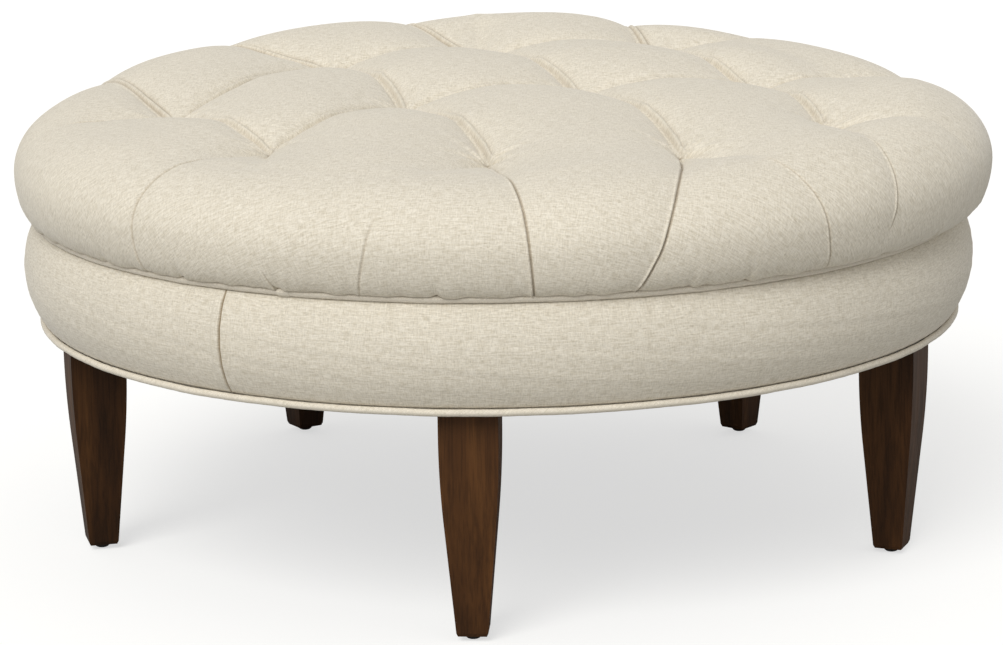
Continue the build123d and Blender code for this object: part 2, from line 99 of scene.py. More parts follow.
world = bpy.data.worlds.new("studio")
scene.world = world
world.use_nodes = True
tree = world.node_tree
tree.nodes.clear()
new = tree.nodes.new
sky = new("ShaderNodeBackground")
sky.inputs["Color"].default_value = sky_colour
sky.inputs["Strength"].default_value = sky_strength
white = new("ShaderNodeBackground")
white.inputs["Color"].default_value = (1, 1, 1, 1)
path = new("ShaderNodeLightPath")
seen = new("ShaderNodeMath")
seen_all = new("ShaderNodeMath")
seen_all.use_clamp = True
pick = new("ShaderNodeMixShader")
out = new("ShaderNodeOutputWorld")
join(tree, (path.outputs["Is Camera Ray"], seen.inputs[0]), (path.outputs["Is Glossy Ray"], seen.inputs[1]),
     (seen.outputs[0], seen_all.inputs[0]), (path.outputs["Is Transmission Ray"], seen_all.inputs[1]),
     (seen_all.outputs[0], pick.inputs[0]), (sky.outputs[0], pick.inputs[1]),
     (white.outputs[0], pick.inputs[2]), (pick.outputs[0], out.inputs["Surface"]))
print("sky strength", sky_strength)

# %% [markdown]
# ## Sun
# One sun from the upper left gives the cells of the cushion their soft shade. The wider a sun is, the
# softer its shadows are.

# %% Set up the sun
sun_data = bpy.data.lights.new("wide_sun", "SUN")
sun_data.energy = 1.95
sun_data.angle = math.radians(36)
sun_data.color = (1.0, 0.99, 0.965)
sun = bpy.data.objects.new("wide_sun", sun_data)
sun_from = Vector((-0.36, -0.95, 0.95))
sun.rotation_mode = "QUATERNION"
sun.rotation_quaternion = sun_from.to_track_quat("Z", "Y")
scene.collection.objects.link(sun)
print("sun strength", sun_data.energy)

# %% [markdown]
# ## Floor
# A sun and a sky light the whole floor alike, so it stays one white to the far edge, and the table's shadow
# is all that shows on it. The floor is grey, to throw little light back on the cloth, and a glow that only
# the camera sees lifts it to white.

# %% Set up the floor
floor_grey, floor_glow = (0.44, 0.44, 0.43, 1), 0.63
floor_mesh = bpy.data.meshes.new("floor")
floor_mesh.from_pydata([(-30, -30, 0), (30, -30, 0), (30, 60, 0), (-30, 60, 0)], [], [(0, 1, 2, 3)])
floor = bpy.data.objects.new("floor", floor_mesh)
scene.collection.objects.link(floor)

floor_finish = bpy.data.materials.new("white_floor")
floor_finish.use_nodes = True
tree = floor_finish.node_tree
tree.nodes.clear()
new = tree.nodes.new
paint = new("ShaderNodeBsdfDiffuse")
paint.inputs["Color"].default_value = floor_grey
glow = new("ShaderNodeEmission")
path = new("ShaderNodeLightPath")
dim = new("ShaderNodeMath")
dim.operation = "MULTIPLY"
dim.inputs[1].default_value = floor_glow
both = new("ShaderNodeAddShader")
out = new("ShaderNodeOutputMaterial")
join(tree, (path.outputs["Is Camera Ray"], dim.inputs[0]), (dim.outputs[0], glow.inputs["Strength"]),
     (paint.outputs[0], both.inputs[0]), (glow.outputs[0], both.inputs[1]),
     (both.outputs[0], out.inputs["Surface"]))
floor.data.materials.append(floor_finish)
print("floor is", floor.dimensions.x, "m wide")

# %% [markdown]
# ## Building finishes from nodes
# Every finish starts from the same few steps: a place on the piece, a pattern there, and a colour or a bump
# made from the pattern. A helper class keeps each finish short. Patterns are read in metres, so a thread is
# a thread on every piece, whatever its size.

# %% Make the node helper
class Finish:
    def __init__(self, name):
        self.material = bpy.data.materials.new(name)
        self.material.use_nodes = True
        self.tree = self.material.node_tree
        self.shader = self.tree.nodes["Principled BSDF"]

    def node(self, kind, **values):
        made = self.tree.nodes.new(kind)
        for key, value in values.items():
            setattr(made, key, value)
        return made

    def plug(self, value, socket):
        if isinstance(value, bpy.types.NodeSocket):
            self.tree.links.new(value, socket)
        else:
            socket.default_value = value

    def place(self):
        return self.node("ShaderNodeTexCoord").outputs["Object"]

    def laid(self):
        """Where a point of cloth lay before it was sewn, kept on the mesh in metres."""
        return self.node("ShaderNodeAttribute", attribute_name="laid").outputs["Vector"]

    def scaled(self, where, x, y, z=1.0):
        mapping = self.node("ShaderNodeMapping")
        self.plug(where, mapping.inputs["Vector"])
        mapping.inputs["Scale"].default_value = (x, y, z)
        return mapping.outputs[0]

    def noise(self, where, scale=1.0, detail=2.0, rough=0.5, twist=0.0):
        made = self.node("ShaderNodeTexNoise")
        self.plug(where, made.inputs["Vector"])
        for key, value in (("Scale", scale), ("Detail", detail), ("Roughness", rough), ("Distortion", twist)):
            made.inputs[key].default_value = value
        return made.outputs["Fac"]

    def grain(self, x, y, z, **how):
        return self.noise(self.scaled(self.place(), x, y, z), **how)

    def ramp(self, value, *stops):
        made = self.node("ShaderNodeValToRGB")
        self.plug(value, made.inputs[0])
        points = made.color_ramp.elements
        while len(points) < len(stops):
            points.new(0.5)
        for point, (at, colour) in zip(points, stops):
            point.position = at
            point.color = (*colour, 1) if isinstance(colour, tuple) else (colour, colour, colour, 1)
        return made.outputs["Color"]

    def math(self, kind, a, b):
        made = self.node("ShaderNodeMath", operation=kind)
        self.plug(a, made.inputs[0])
        self.plug(b, made.inputs[1])
        return made.outputs[0]

    def blend(self, how, amount, a, b):
        made = self.node("ShaderNodeMix", data_type="RGBA", blend_type=how)
        self.plug(amount, made.inputs["Factor"])
        for value, socket in ((a, made.inputs[6]), (b, made.inputs[7])):
            self.plug((*value, 1) if isinstance(value, tuple) else value, socket)
        return made.outputs[2]

    def bump(self, height, distance, strength):
        made = self.node("ShaderNodeBump")
        made.inputs["Strength"].default_value = strength
        made.inputs["Distance"].default_value = distance
        self.plug(height, made.inputs["Height"])
        return made.outputs[0]

    def done(self, colour, roughness, normal=None, **plain):
        self.plug(colour, self.shader.inputs["Base Color"])
        self.plug(roughness, self.shader.inputs["Roughness"])
        if normal is not None:
            self.plug(normal, self.shader.inputs["Normal"])
        for key, value in plain.items():
            self.shader.inputs[key.replace("_", " ")].default_value = value
        return self.material


def srgb(r, g, b):
    """A colour as seen in the photograph, as the linear numbers that a shader takes."""
    return tuple(((c / 255 + 0.055) / 1.055) ** 2.4 if c > 10 else c / 255 / 12.92 for c in (r, g, b))


print("colour helper gives", [round(c, 3) for c in srgb(226, 218, 203)], "for the lit cloth")

# %% [markdown]
# ## Linen-look cloth
# The cover is a plain cream cloth woven from uneven yarn. Up close its threads make a fine grid, some are
# thicker or greyer for a few centimetres, and short dark flecks sit in the yarn. Noise that is long one way
# and very narrow the other way makes such threads. Two of them at right angles are the weave. Little light
# gets into a crease, so each cloth piece carries an amount of painted shade at every point, and the finish
# is painted darker there: in the creases, the tuft pits, the band's seam and the turn above the welt.

# %% Make the linen finishes
thread_long, thread_fine = 260, 1700
slub_long, slub_fine = 95, 640
painted_shade_colour = srgb(158, 140, 112)


def linen(name, light, grey, fleck, fleck_amount=0.35, mottled=1.0):
    f = Finish(name)
    cloth = f.laid()
    across = f.noise(f.scaled(cloth, thread_long, thread_fine), detail=1.0)
    down = f.noise(f.scaled(cloth, thread_fine, thread_long), detail=1.0)
    threads = f.math("MULTIPLY", f.math("ADD", across, down), 0.5)
    slub_a = f.noise(f.scaled(cloth, slub_long, slub_fine), rough=0.6)
    slub_b = f.noise(f.scaled(cloth, slub_fine, slub_long), rough=0.6)
    slubs = f.math("ADD", f.math("MULTIPLY", slub_a, 0.62), f.math("MULTIPLY", slub_b, 0.38))
    wide = f.noise(cloth, scale=9.0, detail=3.0)
    body = f.blend("MIX", f.ramp(slubs, (0.40, 0.0), (0.64, mottled)), light, grey)
    body = f.blend("MULTIPLY", 0.55, body, f.ramp(threads, (0.3, 0.55), (0.62, 1.0)))
    body = f.blend("MULTIPLY", 0.5, body, f.ramp(wide, (0.3, 0.93), (0.7, 1.0)))
    short_lines = f.ramp(f.noise(f.scaled(cloth, 150, 700), detail=1.0), (0.67, 0.0), (0.73, 1.0))
    patches = f.ramp(f.noise(f.scaled(cloth, 34, 34)), (0.5, 0.0), (0.62, 1.0))
    specks = f.math("MULTIPLY", short_lines, patches)
    body = f.blend("MIX", f.math("MULTIPLY", specks, fleck_amount), body, fleck)
    # Painted shade: the colour is darkened where the mesh's painted shade note is high, in creases, slits,
    # tuft pits, the seam and above the welt.
    painted_shade = f.node("ShaderNodeAttribute", attribute_name="painted_shade").outputs["Fac"]
    body = f.blend("MULTIPLY", 1.0, body, f.ramp(painted_shade, (0.0, 1.0), (1.0, painted_shade_colour)))
    normal = f.bump(f.math("ADD", threads, f.math("MULTIPLY", slubs, 0.7)), 0.0007, 0.55)
    return f.done(body, 0.88, normal, Sheen_Weight=0.25, Sheen_Roughness=0.45, Specular_IOR_Level=0.25)


cloth_finish = linen("tufted_linen", srgb(242, 235, 220), srgb(217, 208, 189), srgb(150, 132, 106))
welt_finish = linen("welt_linen", srgb(241, 233, 218), srgb(221, 212, 193), srgb(170, 150, 118), 0.3, 0.8)
print("linen threads are about", round(1000 / thread_fine, 1), "mm thick")

# %% [markdown]
# ## Stained hardwood
# The legs are a close-grained wood under a dark brown stain and a thin satin varnish. The grain runs down
# the leg, so its pattern is stretched along the height. Painted shade makes the wood darker towards the
# foot and on the legs to the left, and a little darker on the legs to the right.

# %% Make the wood finish
def stained_wood(name, dark, middle, lit):
    f = Finish(name)
    where = f.place()
    grain = f.grain(38, 38, 2.6, detail=5.0, rough=0.6, twist=0.6)
    pores = f.grain(420, 420, 16, rough=0.6)
    cloud = f.grain(9, 9, 5)
    apart = f.node("ShaderNodeSeparateXYZ")
    f.plug(where, apart.inputs[0])
    # painted shade by where a leg stands: darkest on the left, full in the middle, a little darker on the
    # right
    painted_side_shade = f.ramp(f.math("ADD", apart.outputs["X"], 0.5), (0.0, 0.62), (0.5, 1.0), (1.0, 0.85))
    # painted shade: darker towards the foot
    low = f.ramp(f.math("MULTIPLY", apart.outputs["Z"], 4.0), (0.05, 0.72), (0.7, 1.0))
    colour = f.ramp(grain, (0.30, dark), (0.50, middle), (0.70, lit))
    colour = f.blend("MULTIPLY", 0.6, colour, f.ramp(pores, (0.34, 0.45), (0.55, 1.0)))
    colour = f.blend("MULTIPLY", 0.6, colour, f.ramp(cloud, (0.3, 0.72), (0.7, 1.0)))
    colour = f.blend("MULTIPLY", 1.0, f.blend("MULTIPLY", 1.0, colour, painted_side_shade), low)
    normal = f.bump(f.math("ADD", f.math("MULTIPLY", grain, 0.5), pores), 0.0004, 0.3)
    shine = f.ramp(pores, (0.3, 0.60), (0.6, 0.48))
    return f.done(colour, shine, normal, Coat_Weight=0.03, Coat_Roughness=0.45, Specular_IOR_Level=0.15)


leg_finish = stained_wood("leg_wood", srgb(50, 30, 14), srgb(80, 50, 25), srgb(102, 66, 34))
print("leg finish has", len(leg_finish.node_tree.nodes), "nodes")

# %% [markdown]
# ## Cushion: the tufts
# Twelve tufts are stitched down to the deck in an uneven diamond pattern. Each is a place in metres, within
# a few millimetres of the CAD model's, so the cloth's cells match the solid's.

# %% Lay out the tufts
tufts = {
    "front_left": (-0.215, -0.213), "front": (0.009, -0.276), "front_right": (0.197, -0.242),
    "left": (-0.338, -0.052), "middle_left": (-0.098, -0.040), "middle": (0.083, 0.038),
    "right": (0.339, -0.112), "middle_right": (0.266, 0.090), "back_left": (-0.197, 0.200),
    "back": (-0.038, 0.268), "back_right": (0.155, 0.292), "far_right": (0.388, 0.150),
}
print(len(tufts), "tufts")

# %% [markdown]
# ## Cushion: the pleats between tufts
# Spare cloth between two tufts is folded into a pleat. Each one runs from the back tuft to the front one
# where its fold shows from the front. The number says how far it bows out sideways half way.

# %% Lay out the pleats between tufts
pleats = [
    ("left", "back_left", 0.006), ("back_left", "middle_left", 0.012), ("front_left", "middle_left", 0.006),
    ("left", "front_left", 0.006), ("middle_left", "front", 0.013), ("middle_left", "middle", 0.006),
    ("middle", "front_right", 0.014), ("middle", "middle_right", 0.006), ("middle_right", "right", 0.012),
    ("back_left", "back", 0.006), ("back", "middle", 0.012), ("back", "back_right", 0.006),
    ("back_right", "middle_right", 0.012), ("middle_right", "far_right", 0.004),
]
print(len(pleats), "pleats between tufts")

# %% [markdown]
# ## Cushion: the pleats to the edge
# The outer tufts also send pleats down over the edge, where the cloth is only folded. So these valleys fill
# up towards the rim, and of a full one only a crease is left. Each row gives the tuft, the direction at the
# rim in degrees, the sideways bend, how full the valley is half way and at the rim, the share of the way
# where the crease starts and stops, and how marked it is.

# %% Lay out the pleats to the edge
edge_pleats = [
    ("front_left", -129.5, 0, 0.85, 0.97, 0.30, 1, 0.6), ("front_left", -111.1, 0, 1, 1, 0.90, 1, 1.2),
    ("front", -101.5, 0, 1, 1, 0.70, 1, 0.45), ("front", -82.3, 0, 0.50, 0.90, 0, 1, 1.3),
    ("front_right", -71.2, 0.010, 0.45, 0.88, 0, 1, 1.3),
    ("front_right", -47.0, -0.012, 0.80, 0.95, 0.45, 1, 0.8),
    ("right", -40.0, 0, 0.55, 0.92, 0.05, 0.88, 1.1), ("right", -16.0, 0, 0.75, 0.96, 0, 0.45, 0.6),
    ("far_right", 4.5, 0, 0.50, 0.92, 0, 0.9, 0.6), ("far_right", 27.0, 0, 0.65, 0.96, 0, 1, 0.8),
    ("back_right", 46.0, 0, 0.60, 0.93, 0, 1, 0.8), ("back_right", 81.0, 0, 0.60, 0.93, 0, 1, 1),
    ("back", 96.0, 0, 1, 1, 0.6, 1, 0.5), ("back", 112.0, 0, 0.60, 0.93, 0, 1, 1),
    ("back_left", 140.0, 0, 0.60, 0.93, 0, 1, 1), ("left", 153.0, 0, 0.55, 0.93, 0, 1, 1),
    ("left", 194.0, 0, 0.85, 0.97, 0, 0.5, 0.7),
]
print(len(edge_pleats), "pleats to the edge")

# %% [markdown]
# ## Cushion: the surface that the pleats lie on
# Without its filling the cover would lie on a low dome with a rounded edge. All places are measured along
# that dome as on a flat cloth: a distance from the middle, and a direction.

# %% Draw the dome's profile
top_height, crown_rise = 0.4560, 0.0097
flat_radius, side_radius, side_height = 0.380, 0.495, 0.393
foot_radius, foot_height = 0.484, 0.352

t = np.linspace(0, 1, 120)[1:]
flat_r = np.linspace(0, flat_radius, 80)
profile_r = np.concatenate([
    flat_r, flat_radius + (side_radius - flat_radius) * np.sin(math.pi / 2 * t),
    foot_radius + (side_radius - foot_radius) * np.cos(math.pi / 2 * t)])
profile_z = np.concatenate([
    top_height + crown_rise * (1 - (flat_r / flat_radius) ** 2),
    side_height + (top_height - side_height) * np.cos(math.pi / 2 * t),
    side_height - (side_height - foot_height) * np.sin(math.pi / 2 * t)])
profile_s = np.concatenate([[0], np.cumsum(np.hypot(np.diff(profile_r), np.diff(profile_z)))])
cloth_radius = profile_s[-1]
widest = profile_r.argmax() + 1


def on_cloth(x, y):
    """A place seen from above, as its place on the cloth laid flat."""
    reach = math.hypot(x, y)
    grow = np.interp(reach, profile_r[:widest], profile_s[:widest]) / max(reach, 1e-6)
    return np.array((x * grow, y * grow))


print("the cover reaches", round(float(cloth_radius), 3), "m from its middle along the cloth")

# %% [markdown]
# ## Cushion: pleats as lines on the cloth
# A pleat is now a short row of places on the flat cloth, each with the depth that the stitches pull it to
# and with how full its valley is. It is deepest at a tuft.

# %% Write the pleats as lines
tuft_depth, pleat_depth, edge_depth = 0.021, 0.0035, 0.004


def pleat_row(a, b, bend, depths, fullness):
    """A pleat from a to b as rows of x, y, depth and fullness, bowed to its left by the bend."""
    way = (b - a) / np.hypot(*(b - a))
    row = []
    for t in np.linspace(0, 1, 7 if bend else 3):
        x, y = a + (b - a) * t + 4 * bend * t * (1 - t) * np.array((-way[1], way[0]))
        row.append((x, y, np.interp(t, (0, 0.5, 1), depths), np.interp(t, (0, 0.5, 1), fullness)))
    return np.array(row)


sewn_depths = (tuft_depth, pleat_depth, tuft_depth)
lines = [pleat_row(on_cloth(*tufts[start]), on_cloth(*tufts[end]), bend, sewn_depths, (0, 0, 0))
         for start, end, bend in pleats]
for start, turn, bend, half_way, rim_fullness, *_ in edge_pleats:
    way = np.array((math.cos(math.radians(turn)), math.sin(math.radians(turn))))
    lines.append(pleat_row(on_cloth(*tufts[start]), way * cloth_radius, bend, (tuft_depth, edge_depth, 0),
                           (0, half_way, rim_fullness)))
print("pleat lines:", len(lines))

# %% [markdown]
# ## Cushion: where a place is, seen from a pleat
# What a pleat does to the cloth depends on how far away it is and on which side. One helper answers this
# for many places at once.

# %% Measure from a pleat
far_away = 9.0


def nearest(x, y, line):
    """Distance to a pleat, side of it, how far along it, its depth there and how full it is."""
    best = np.full(x.shape, far_away)
    side, along, depth, full = (np.zeros(x.shape) for _ in range(4))
    gone = 0.0
    for a, b in zip(line, line[1:]):
        d = b[:2] - a[:2]
        size = max(float(np.hypot(*d)), 1e-9)
        u = np.clip(((x - a[0]) * d[0] + (y - a[1]) * d[1]) / size ** 2, 0, 1)
        off_x, off_y = x - a[0] - u * d[0], y - a[1] - u * d[1]
        off = np.hypot(off_x, off_y)
        closer = off < best
        best = np.where(closer, off, best)
        side = np.where(closer, np.sign(d[0] * off_y - d[1] * off_x), side)
        along = np.where(closer, gone + u * size, along)
        depth = np.where(closer, a[2] + u * (b[2] - a[2]), depth)
        full = np.where(closer, a[3] + u * (b[3] - a[3]), full)
        gone += size
    return best, side, along, depth, full


def length_of(line):
    return float(sum(np.hypot(*(b[:2] - a[:2])) for a, b in zip(line, line[1:])))


print("longest pleat:", round(max(length_of(line) for line in lines), 3), "m")

# %% [markdown]
# ## Cushion: how the filling pushes the cloth out
# Filling under a cloth that is held along lines behaves like a soap film on a frame with air under it. So
# the push is the answer of a stretched film, worked out on a grid: zero on every sewn pleat, highest in the
# middle of a cell. It starts on a coarse grid, because a fine one alone would need many more rounds.

# %% Make the film
def film(hold, value, reach, load, grid, rounds):
    """Relax a film. hold says how firmly each place is held at its value."""
    size = hold.shape[0]
    if size > 60:
        coarse = film(hold[::2, ::2], value[::2, ::2], reach, load, grid * 2, rounds)
        field = np.kron(coarse, np.ones((2, 2)))[:size, :size]
    else:
        field = value * (hold > 1)
    i, j = np.indices(hold.shape)
    stiff = 4 + (grid / reach) ** 2 + hold
    for _ in range(rounds):
        for colour in (0, 1):
            cells = (i + j) % 2 == colour
            near = np.roll(field, 1, 0) + np.roll(field, -1, 0) + np.roll(field, 1, 1) + np.roll(field, -1, 1)
            target = (near + load * grid * grid + hold * value) / stiff
            field = np.where(cells, field + 1.5 * (target - field), field)
    return field


print("film with no air under it:", film(np.ones((9, 9)), np.zeros((9, 9)), 1, 0, 1, 5).max())

# %% [markdown]
# ## Cushion: stretch the films
# The first of three films is held by the sewn pleats alone. The second is held by the edge pleats too, at
# the share of the first that their fullness asks for. The third gives how deep the stitches pull the cloth
# down.

# %% Stretch the films on a grid
cell_reach, stitch_reach, puff = 0.045, 0.060, 0.46
grid, rounds = 0.003, 60
rim_grip, pleat_grip = 1e4, 400

half = int(math.ceil(cloth_radius / grid)) + 4
axis = np.arange(-half, half + 1) * grid
grid_x, grid_y = np.meshgrid(axis, axis, indexing="ij")
outside = np.hypot(grid_x, grid_y) >= cloth_radius
hold = np.where(outside, rim_grip, 0.0)
hold_all, gap = hold.copy(), np.full(hold.shape, far_away)
held_drop, fullness, nothing = (np.zeros(hold.shape) for _ in range(3))
for k, line in enumerate(lines):
    off, _, _, depth, full = nearest(grid_x, grid_y, line)
    grip = pleat_grip * np.exp(-(off / (0.55 * grid)) ** 2)
    mine = (off < gap) & ~outside
    held_drop = np.where(mine, -depth, held_drop)
    fullness = np.where(mine, full, fullness)
    gap = np.minimum(gap, off)
    hold_all = np.where(outside, hold_all, np.maximum(hold_all, grip))
    if k < len(pleats):
        hold = np.where(outside, hold, np.maximum(hold, grip))
open_swell = film(hold, nothing, cell_reach, 1.0, grid, rounds)
swell = film(hold_all, open_swell * fullness ** 2, cell_reach, 1.0, grid, rounds)
drop = film(hold_all, held_drop, stitch_reach, 0.0, grid, rounds)
print("filling pushes up to", round(float(puff * np.sqrt(swell.max())) * 1000, 1), "mm")

# %% [markdown]
# ## Cushion: points close together at the folds
# A mesh of even squares would need millions of them to show a pleat a millimetre wide. So points are laid
# in rows beside each pleat and in rings round each tuft, closest together at the fold itself.

# %% Lay points at pleats and tufts
full_turn = 2 * math.pi
row_offsets = np.array([0, 0.7, 1.5, 2.4, 3.3, 4.3, 5.5, 6.8, 8.1, 9.4]) / 1000
row_step = 0.0028
ring_radii = (2.2, 3.8, 5.4, 7.2, 9.2, 11.6, 14.4, 17.8, 21.8, 26.6)
ring_counts = (10, 16, 24, 32, 40, 48, 52, 56, 56, 56)


def pleat_points():
    made = []
    for line in lines:
        for a, b in zip(line, line[1:]):
            d = b[:2] - a[:2]
            size = float(np.hypot(*d))
            if size < 0.004:
                continue
            d = d / size
            for s in np.arange(0.003, size - 0.001, row_step):
                base = a[:2] + d * s
                for off in row_offsets:
                    for sign in ((1,) if off == 0 else (1, -1)):
                        made.append(base + sign * off * np.array((-d[1], d[0])))
    return made


def tuft_points():
    made = []
    for place in tufts.values():
        centre = on_cloth(*place)
        made.append(centre)
        for k, (radius, count) in enumerate(zip(ring_radii, ring_counts)):
            for i in range(count):
                turn = full_turn * (i + 0.5 * (k % 2)) / count
                made.append(centre + radius / 1000 * np.array((math.cos(turn), math.sin(turn))))
    return made


inside = [p for p in tuft_points() + pleat_points() if np.hypot(*p) < cloth_radius - 0.0005]
print("points at pleats and tufts:", len(inside))

# %% [markdown]
# ## Cushion: points at the rim and on the cells
# The rim is gathered, so it gets five close rings of points. The cells are smooth, so their points are
# staggered and stand further apart.

# %% Lay points at the rim and on the cells
rim_rings = ((0, 0.0032), (0.0025, 0.0032), (0.0055, 0.0036), (0.0095, 0.0042), (0.0145, 0.005))
finest, coarsest = 0.0016, 0.0062


def edge_points():
    made = []
    for back, spacing in rim_rings:
        count = int(full_turn * cloth_radius / spacing)
        for i in range(count):
            turn = full_turn * (i + 0.5 * (back > 0)) / count
            made.append((cloth_radius - back) * np.array((math.cos(turn), math.sin(turn))))
    return made


def field_points(spacing, low, high):
    count = int(cloth_radius / spacing) + 1
    i, j = np.meshgrid(np.arange(-count, count + 1), np.arange(-int(count * 1.16), int(count * 1.16) + 1),
                       indexing="ij")
    x = (i + 0.5 * (j % 2)) * spacing
    y = j * spacing * math.sqrt(3) / 2
    off = np.full(x.shape, far_away)
    for line in lines:
        off = np.minimum(off, nearest(x, y, line)[0])
    wanted = np.clip(finest + 0.20 * off, finest, coarsest)
    keep = (wanted >= low) & (wanted < high) & (off > 0.0102) & (np.hypot(x, y) < cloth_radius - 0.018)
    return list(np.stack([x[keep], y[keep]], -1))


border = edge_points()
spread = field_points(0.0062, 0.0061, 1.0)
spread += field_points(0.0042, 0.0040, 0.0061)
spread += field_points(0.003, 0.0, 0.0040)
print("points at the rim:", len(border), "and on the cells:", len(spread))

# %% [markdown]
# ## Cushion: join the points
# Where pleats meet, their rows overlap, so points that lie on top of each other are dropped. Blender's
# Delaunay call joins the rest into triangles that are as even as they can be.

# %% Thin the points and join them
def thinned(points, room):
    kept, taken = [], {}
    for p in points:
        cell = (int(p[0] // room), int(p[1] // room))
        near = [taken.get((cell[0] + a, cell[1] + b)) for a in (-1, 0, 1) for b in (-1, 0, 1)]
        if all(q is None or abs(p[0] - q[0]) + abs(p[1] - q[1]) > room for q in near):
            taken[cell] = p
            kept.append(p)
    return kept


flat_points = thinned(border + inside + spread, 0.0007)
joined = delaunay_2d_cdt([Vector((float(x), float(y))) for x, y in flat_points], [], [], 0, 1e-7)
flat = np.array([tuple(v) for v in joined[0]])
triangles = [tuple(f) for f in joined[2] if len(f) == 3]
x, y = flat[:, 0], flat[:, 1]
reach, angle = np.hypot(x, y), np.arctan2(y, x)
print("points on the cover:", len(flat_points), "and triangles:", len(triangles))

# %% [markdown]
# ## Cushion: helpers for its relief
# All relief is built from three shapes: a reading of the films, a wave that wanders round a circle, and a
# smooth ridge beside a line. A wave's numbers come from a fixed seed, so they are the same on every run.

# %% Make the relief helpers
def read_grid(field, x, y):
    u, v = (x - axis[0]) / grid, (y - axis[0]) / grid
    i, j = u.astype(int), v.astype(int)
    a, b = u - i, v - j
    near = field[i, j] * (1 - b) + field[i, j + 1] * b
    far = field[i + 1, j] * (1 - b) + field[i + 1, j + 1] * b
    return near * (1 - a) + far * a


def wave(angle, counts, seed):
    dice = np.random.default_rng(seed)
    total = np.zeros(np.shape(angle))
    for count in counts:
        total = total + dice.uniform(0.5, 1) * np.sin(count * angle + dice.uniform(0, full_turn))
    return total / len(counts)


def ridge(off, at, width):
    return np.exp(-((off - at) / width) ** 2)


def rising(value, start, length):
    """Zero up to the start, then up to one over the length."""
    return np.clip((value - start) / length, 0, 1)


pushed = read_grid(swell, x, y)
sunk = read_grid(drop, x, y)
print("stitches pull the cloth down by up to", round(-float(sunk.min()) * 1000, 1), "mm")

# %% [markdown]
# ## Cushion: fold the pleats
# A pleat between tufts is folded under at its back side, which shows as two narrow slits with a lip between
# them. An edge pleat in front is one slit with a thin lip. The slits get painted shade.

# %% Fold the pleats
fold, painted_shade = np.zeros(len(x)), np.zeros(len(x))
slit_depth = 0.0017
for k, line in enumerate(lines):
    off, side, along, _, full = nearest(x, y, line)
    pushed = pushed * (1 - ridge(off, 0, 0.0022) * np.clip(1 - full * 2.5, 0, 1))
    length = length_of(line)
    if k < len(pleats):
        marked = rising(along, 0, 0.02) * rising(length - along, 0, 0.02)
        across, share, shade = off * side, np.clip(along / length * 1.4 - 0.1, 0, 1), 0.25
        folded_under = True
    else:
        _, turn, _, _, _, start, stop, strength = edge_pleats[k - len(pleats)]
        marked = strength * rising(along / length, start, 0.12)
        if stop < 1:
            marked = marked * rising(stop - along / length, 0, 0.08)
        across, share, shade = -off * side, 1 - 0.5 * along / length, 0.55
        folded_under = 30 < turn < 180
    if folded_under:
        marked = marked * share
        slit = -slit_depth * (ridge(across, 0.0030, 0.0013) + ridge(across, 0.0082, 0.0012))
        lip = 0.0019 * ridge(across, 0.0056, 0.0017)
    else:
        slit = -0.0021 * ridge(across, 0.0002, 0.0010)
        lip = 0.0012 * ridge(across, 0.0024, 0.0010)
    fold += marked * (slit + lip)
    # painted shade in the slits of each pleat
    painted_shade = np.maximum(painted_shade, shade * np.clip(-marked * slit / slit_depth, 0, 1))
print("folds stand up to", round(float(fold.max()) * 1000, 1), "mm proud")

# %% [markdown]
# ## Cushion: puckers at the tufts
# The film's answer becomes the push here: the cells are a little fuller at the back, where the cushion is
# higher. Round each tuft the cloth is gathered into small ridges that run out from the stitch and die away.
# The tuft's pit and the valleys between the ridges get painted shade.

# %% Push the cells out and pucker the tufts
fuller_back, fuller_right = 1.3, 0.2
pucker_height, pucker_reach = 0.0034, 0.013
on_top = np.clip((cloth_radius - reach) / 0.150, 0, 1)
pushed = puff * np.sqrt(np.maximum(pushed, 0) * (1 + on_top * (fuller_back * y + fuller_right * x)))
for k, place in enumerate(tufts.values()):
    cx, cy = on_cloth(*place)
    off, way = np.hypot(x - cx, y - cy), np.arctan2(y - cy, x - cx)
    ridges = wave(way, (7, 9, 11, 13), 40 + k)
    pucker = pucker_height * ridges * (off / pucker_reach)
    pushed += pucker * np.exp(1 - off / pucker_reach) * np.clip(off / 0.003, 0, 1)
    # painted shade in the pit of each tuft and in the valleys between its puckers
    painted_shade = np.maximum(painted_shade, 0.9 * ridge(off, 0, 0.0030))
    painted_shade = np.maximum(painted_shade, 0.35 * np.clip(-1.6 * ridges, 0, 1) * ridge(off, 0, 0.014))
print("cells stand up to", round(float(pushed.max()) * 1000, 1), "mm above the dome")

# %% [markdown]
# ## Cushion: slack places
# No hand-tufted cushion is the same all round. The filling of this one has settled at three places. A slack
# place is a direction in degrees, how much of the push is gone, and how narrow it is. The pit beside the
# far left tuft is round.

# %% Take filling out of the slack places
slack_places = [(-149, 0.25, 3), (34, 0.60, 9)]
left_pit, left_pit_size, left_pit_slack = (-0.405, -0.150), 0.085, 0.38
pit_off = (x - left_pit[0]) ** 2 + (y - left_pit[1]) ** 2
pushed *= 1 - left_pit_slack * np.exp(-pit_off / left_pit_size ** 2)
for turn, amount, narrow in slack_places:
    slack = amount * np.clip(np.cos(angle - math.radians(turn)), 0, 1) ** narrow
    pushed *= 1 - slack * ridge(reach, 0.42, 0.07)
print("slack places:", len(slack_places) + 1)

# %% [markdown]
# ## Cushion: gathers at the foot
# Where the cover is sewn to the upper welt, spare cloth is gathered into many fine waves and some small
# tucks. The last few millimetres turn in above the welt, and they get painted shade.

